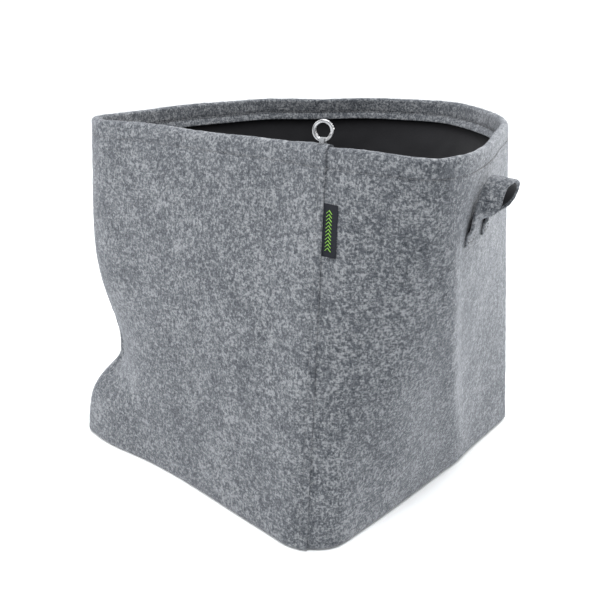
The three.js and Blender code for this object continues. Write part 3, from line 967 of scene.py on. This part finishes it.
def strapLine(tab):
    # Up one sewn end, over the free strap and down the other. Gives the place along the wall, the height,
    # the distance out, the turn, the facing and how closely the strip follows the wall.
    end = strapFoot - tab
    low = np.linspace(end, strapFoot + strap["hingeGap"], 14)[:-1]
    turn = np.linspace(0, np.pi, 72)
    facing = np.radians(strap["twist"]) * smooth(np.sin(turn) / strap["twistBy"])
    first, last = strap["lean"]
    lean = strap["standoff"] * np.sin(turn) ** 2 * smooth((turn / np.pi - first) / (last - first))
    settle = strap["settle"] * (1 - np.cos(facing))
    out = strap["lift"] + strap["width"] / 2 * np.sin(facing) + lean - settle
    rise = smooth((low - strapFoot + 6) / (strap["hingeGap"] + 6))
    side = np.full(len(low), -strap["spacing"] / 2)
    along = np.concatenate([side, -strap["spacing"] / 2 * np.cos(turn), -side])
    z = np.concatenate([low, strapFoot + strap["hingeGap"] + strap["rise"] * np.sin(turn), low[::-1]])
    outs = np.concatenate([strap["lift"] * rise, out, (strap["lift"] * rise)[::-1]])
    turns = np.concatenate([np.zeros(len(low)), turn, np.full(len(low), np.pi)])
    facings = np.concatenate([np.zeros(len(low)), facing, np.zeros(len(low))])
    follow = np.concatenate([1 - rise, np.zeros(len(turn)), (1 - rise)[::-1]])
    return along, z, outs, turns, facings, follow


def plySection(thick, width, corner, count=4):
    # a flat strip's section with rounded corners: (across, depth) from the middle of the ply
    points = []
    for sx, sy, first in ((1, -1, -90), (1, 1, 0), (-1, 1, 90), (-1, -1, 180)):
        for a in np.radians(np.linspace(first, first + 90, count)):
            x = sx * (width / 2 - corner) + corner * math.cos(a)
            y = sy * (thick / 2 - corner) + corner * math.sin(a)
            points.append((x, y))
    return points


def fillSection(section):
    # adds points along the long faces so that the strip can curve and be uneven
    filled = []
    for (x, y), (nx, ny) in zip(section, section[1:] + section[:1]):
        steps = max(1, round(abs(nx - x) / 1.6))
        filled += [(x + (nx - x) * k / steps, y + (ny - y) * k / steps) for k in range(steps)]
    return np.array(filled)


def pressed(depth, z):
    # the depth of a point in the strap once its sewn end is drawn down onto the wall
    hold = smooth((strapFoot + 2 - z) / 8)
    down = np.where(depth < strapInner - 0.01, depth / 2, 0.3 + (depth - strapInner) * 0.8)
    return depth + hold * (down - depth)


def makePly(name, share, innerDepth, thick, width, tab, material, lumps):
    along, z, outs, turns, facings, follow = strapLine(tab)
    corner = min(0.95, thick * 0.45)
    section = fillSection(plySection(thick, width, corner))
    middleDepth = cut["gap"] + strapThick / 2
    centreDepth = innerDepth + thick / 2
    centre = wallPoint(share + shareOf(along), z, outs + middleDepth)
    run = np.gradient(centre, axis=0)
    run /= np.linalg.norm(run, axis=1, keepdims=True)
    level = wallNormal(np.array([share]), np.array([strapFoot / cut["height"]]))[0]
    outward = np.array([*level, 0])
    sideways = np.array([-level[1], level[0], 0])
    bow = -np.cos(turns)[:, None] * sideways + np.sin(turns)[:, None] * upward
    face = np.cos(facings)[:, None] * outward + np.sin(facings)[:, None] * bow
    across = np.cross(run, face)
    across /= np.linalg.norm(across, axis=1, keepdims=True)
    normal = np.cross(across, run)
    depth = section[None, :, 1] + centreDepth
    free = (
        centre[:, None]
        + across[:, None] * section[None, :, :1]
        + normal[:, None] * (depth - middleDepth)[..., None]
    )
    # at the sewn ends the strip follows the curve of the wall
    toward = np.where(turns < np.pi / 2, 1, -1)[:, None]
    beside = share + shareOf(along)[:, None] + shareOf(section[None, :, 0] * toward)
    sewn = wallPoint(beside, z[:, None], pressed(depth, z[:, None]) + outs[:, None])
    grid = free * (1 - follow)[:, None, None] + sewn * follow[:, None, None]
    normals = gridNormals(grid)
    centreLine = grid.mean(1, keepdims=True)
    if ((grid - centreLine) * normals).sum(-1).mean() < 0:
        normals = -normals
    points = grid.reshape(-1, 3)
    flatNormals = normals.reshape(-1, 3)
    for index, (size, height) in enumerate(lumps):
        points = roughen(points, flatNormals, np.ones(len(points)), size, height, index + 4)
    return sweep(name, points.reshape(grid.shape), material)


def makeHandle(side):
    share = strap["shares"][side]
    body = f"{side}_handle"
    # the strap's plies: the felt outside and the lining under it
    plies = [
        ("felt", "grey_felt", strapInner, strap["width"], strap["tab"], felt, strap["lumps"]),
        ("lining", "black_lining", cut["gap"], strap["liningWidth"], strap["liningTab"], lining, []),
    ]
    for kind, slot, depth, width, tab, material, lumps in plies:
        name = f"{side}Handle{kind.capitalize()}"
        ply = makePly(name, share, depth, cut[kind], width, tab, material, lumps)
        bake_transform(ply)
        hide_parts(f"{body}_{kind}", f"{body}_front_end_{kind}", f"{body}_back_end_{kind}")
        flatLength = 2 * (tab + strap["hingeGap"]) + strap["freeLength"]
        width * mm
        flatLength * mm
    for place, sign in (("front", -1), ("back", 1)):
        direction = sign if side == "right" else -sign
        middle = share + shareOf(direction * strap["spacing"] / 2)
        makeTack(f"{side}Handle{place.capitalize()}Tack", middle, f"{body}_{place}_end_stitching")


tack = {"inset": 2.5, "pitch": 2.6, "length": 2.0, "thread": 0.75, "rise": 0.2, "dip": 0.6}


def makeTack(name, middle, node):
    # a rectangle of stitches through a sewn end
    half = strap["width"] / 2 - tack["inset"]
    top = strapFoot - tack["inset"]
    low = strapFoot - strap["tab"] + tack["inset"]

    def face(z):
        return pressed(cut["gap"] + strapThick, z) - 0.1

    def level(z):
        return lambda along, out: wallPoint(middle + shareOf(along), z, face(z) + out)

    def upright(x):
        return lambda along, out: wallPoint(middle + shareOf(x), along, face(along) + out)

    across = np.arange(-half + 1, half, tack["pitch"])
    up = np.arange(low + 1, top, tack["pitch"])
    rows = [(level(low), across), (level(top), across), (upright(-half), up), (upright(half), up)]
    parts = [stitchRow(f"{name}{i}", *row, tack, hemThread) for i, row in enumerate(rows)]
    piece = joinPieces(name, parts)
    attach(piece, "bag")
    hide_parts(node)


for side in ("right", "left"):
    makeHandle(side)
print("handles made")

studio = {
    "floorSide": 12,
    "world": (0.97, 0.985, 1.0),
    "horizon": 0.29,  # strength of the sky there, then what is added overhead and behind the bag
    "overhead": 1.15,
    "behind": 0.84,
    "lights": [
        # place, aimed at, width, height, watts, colour
        ((-1.4, -0.75, 0.35), (0, 0, 0.1), 0.8, 0.8, 3.6, (1, 0.99, 0.97)),
        ((0.33, 1.7, 0.6), (0.15, 0, 0.15), 0.8, 0.9, 28, (1, 0.99, 0.96)),
        ((-0.2, -0.6, 0.6), (-0.2, -0.55, 0), 0.5, 0.5, 1.2, (1, 0.99, 0.97)),
        ((0.3, -0.4, 1.45), (0, 0, 0.2), 0.7, 0.7, 13, (1, 1, 1)),
    ],
}
view = {
    "target": (0.0160, -0.0180, 0.1398),
    "azimuth": 41.8,
    "pitch": 20.55,
    "distance": 0.690,
    "focal": 45.6,
    "sensor": 36,
}


def makeStudio():
    half = studio["floorSide"] / 2
    corners = np.array([(-half, -half, 0), (half, -half, 0), (half, half, 0), (-half, half, 0)]) / mm
    floor = makePiece("floor", corners, [[0, 1, 2, 3]], makeFloor())
    world = bpy.data.worlds.new("studio")
    bpy.context.scene.world = world
    world.use_nodes = True
    back = world.node_tree.nodes["Background"]
    back.inputs["Color"].default_value = (*studio["world"], 1)
    paint = Wire(world.node_tree)
    split = paint.node("SeparateXYZ", {}, {0: paint.node("TexCoord", {}, {}, "Generated")})
    x, y, z = (split.output(axis) for axis in "XYZ")
    azimuth = math.radians(view["azimuth"])
    away = y * math.cos(azimuth) - x * math.sin(azimuth)
    sky = z.spread(0.05, 0.85) * studio["overhead"] + away.spread(0.35, 0.8) * studio["behind"]
    paint.tree.links.new((sky + studio["horizon"]).socket, back.inputs["Strength"])
    for index, (place, aim, wide, tall, watts, colour) in enumerate(studio["lights"]):
        data = bpy.data.lights.new(f"softbox{index}", "AREA")
        data.shape = "RECTANGLE"
        data.size, data.size_y = wide, tall
        data.energy = watts
        data.color = colour
        lamp = bpy.data.objects.new(f"softbox{index}", data)
        lamp.location = place
        lamp.rotation_euler = (Vector(aim) - Vector(place)).to_track_quat("-Z", "Y").to_euler()
        bpy.context.scene.collection.objects.link(lamp)


def makeCamera():
    azimuth, pitch = math.radians(view["azimuth"]), math.radians(view["pitch"])
    level = math.cos(pitch)
    back = Vector((math.sin(azimuth) * level, -math.cos(azimuth) * level, math.sin(pitch)))
    data = bpy.data.cameras.new("camera")
    data.lens = view["focal"]
    data.sensor_width = view["sensor"]
    camera = bpy.data.objects.new("camera", data)
    camera.location = Vector(view["target"]) + back * view["distance"]
    camera.rotation_euler = (-back).to_track_quat("-Z", "Y").to_euler()
    bpy.context.scene.collection.objects.link(camera)
    bpy.context.scene.camera = camera


makeStudio()
makeCamera()
bpy.context.scene.view_settings.view_transform = "Standard"
print("studio made")
